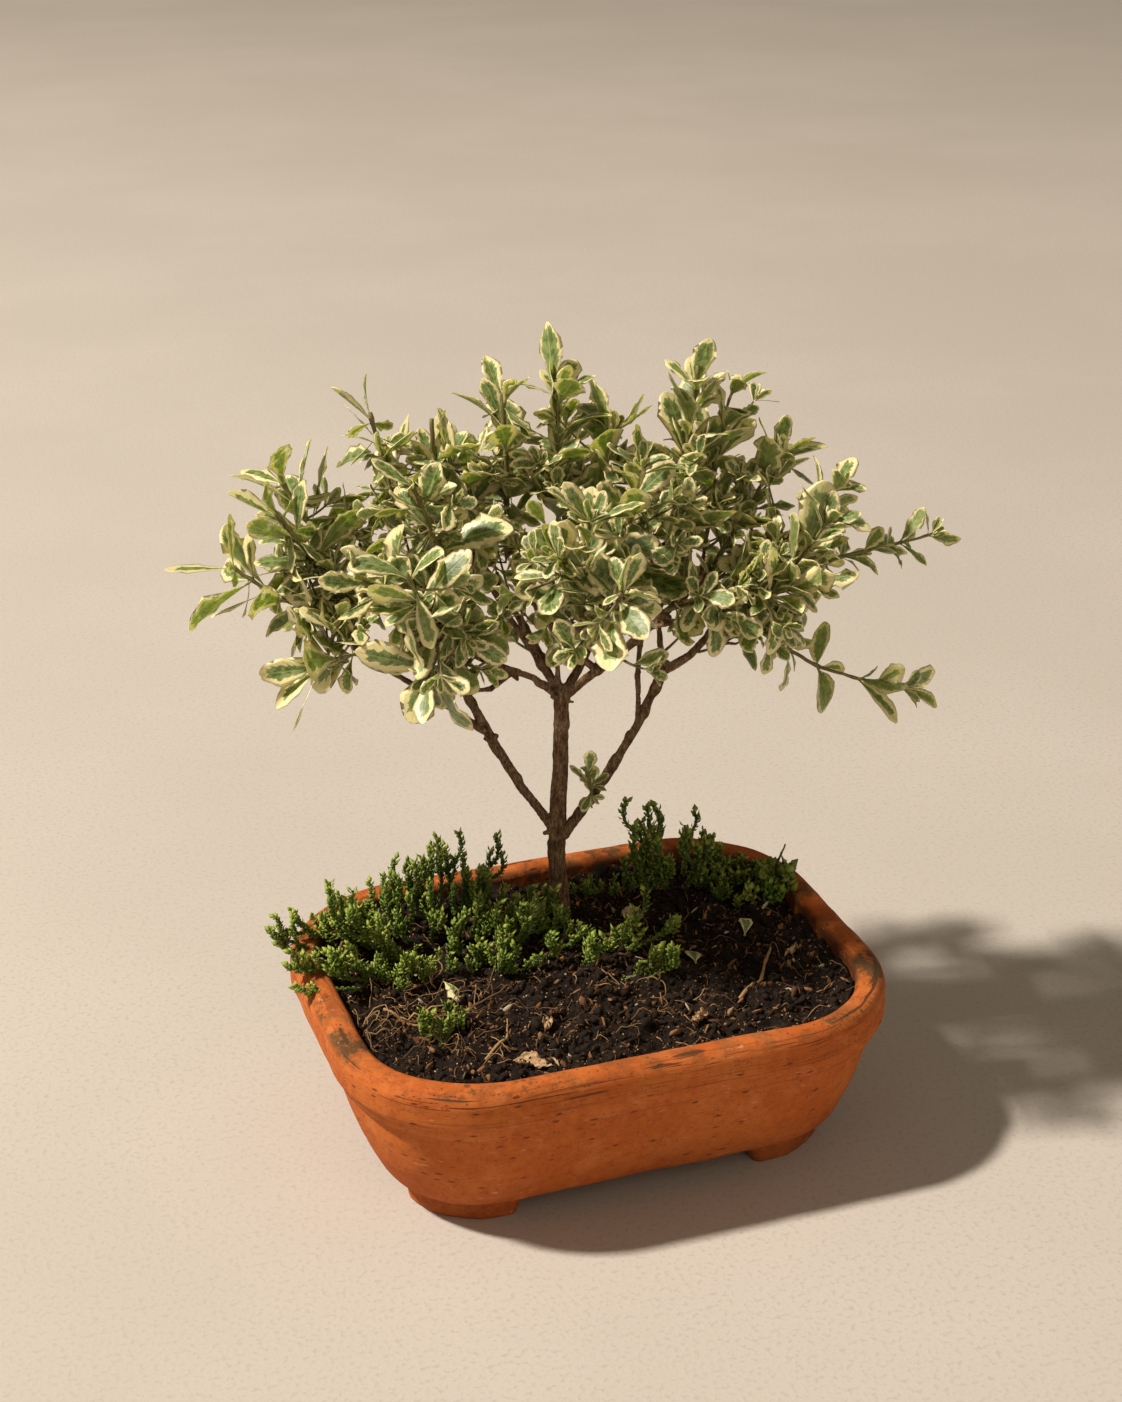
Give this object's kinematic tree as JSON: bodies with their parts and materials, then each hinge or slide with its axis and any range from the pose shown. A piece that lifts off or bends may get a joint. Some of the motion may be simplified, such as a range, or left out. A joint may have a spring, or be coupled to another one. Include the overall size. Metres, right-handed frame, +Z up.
{
  "type": "potted bonsai tree",
  "caption": "Small variegated broadleaf bonsai with a slim trunk and open spreading crown, in a low rounded rectangular terracotta pot on corner feet, with ground cover on the soil.",
  "frame": {"origin": "centre of the whole object's box in plan, on the surface that the feet stand on", "axes": "+Z up, +X along the pot's long side to the right, +Y from the pot's front to its back, where the trunk stands"},
  "size_m": [0.3086, 0.24, 0.3318],
  "materials": {
    "terracotta": "matte",
    "soil": "matte",
    "screen": "matte",
    "bark": "matte",
    "leaves": "satin",
    "ground_cover": "matte",
    "dead_stem": "matte",
    "dry_leaf": "matte",
    "fallen_leaf": "satin",
    "pebble": "matte"
  },
  "bodies": {
    "root": {"dead_root_front": "dead_stem", "dead_root_left": "dead_stem", "dead_stalk_right": "dead_stem", "dead_twig_right": "dead_stem", "drain_screen_left": "screen", "drain_screen_right": "screen", "dry_leaf_front": "dry_leaf", "fallen_leaf_left": "fallen_leaf", "fallen_leaf_middle": "fallen_leaf", "fallen_leaf_right": "fallen_leaf", "ground_cover_back_right": "ground_cover", "ground_cover_front_left_frond": "ground_cover", "ground_cover_front_sprig": "ground_cover", "ground_cover_left_back": "ground_cover", "ground_cover_left_front": "ground_cover", "ground_cover_left_rim": "ground_cover", "ground_cover_right": "ground_cover", "pebble_tan": "pebble", "pot": "terracotta", "shoot_front_left": "leaves", "shoot_front_left_high": "leaves", "shoot_front_middle": "leaves", "shoot_front_right": "leaves", "shoot_front_slant": "leaves", "shoot_left_crown": "leaves", "shoot_left_cut_twig": "leaves", "shoot_left_lower": "leaves", "shoot_left_tip": "leaves", "shoot_left_upper": "leaves", "shoot_limb_sprout": "leaves", "shoot_lower_01": "leaves", "shoot_lower_02": "leaves", "shoot_lower_03": "leaves", "shoot_lower_04": "leaves", "shoot_lower_05": "leaves", "shoot_lower_06": "leaves", "shoot_lower_07": "leaves", "shoot_middle_cut_twig": "leaves", "shoot_right_cluster": "leaves", "shoot_right_crown": "leaves", "shoot_right_cut_twig": "leaves", "shoot_right_long": "leaves", "shoot_right_lower": "leaves", "shoot_right_under": "leaves", "shoot_top": "leaves", "shoot_upper_01": "leaves", "shoot_upper_02": "leaves", "shoot_upper_03": "leaves", "shoot_upper_04": "leaves", "shoot_upper_05": "leaves", "shoot_upper_06": "leaves", "shoot_upper_07": "leaves", "shoot_upper_08": "leaves", "shoot_upper_09": "leaves", "shoot_upper_10": "leaves", "shoot_upper_11": "leaves", "shoot_upper_12": "leaves", "shoot_upper_13": "leaves", "soil": "soil", "trunk_and_branches": "bark"}
  },
  "joints": []
}
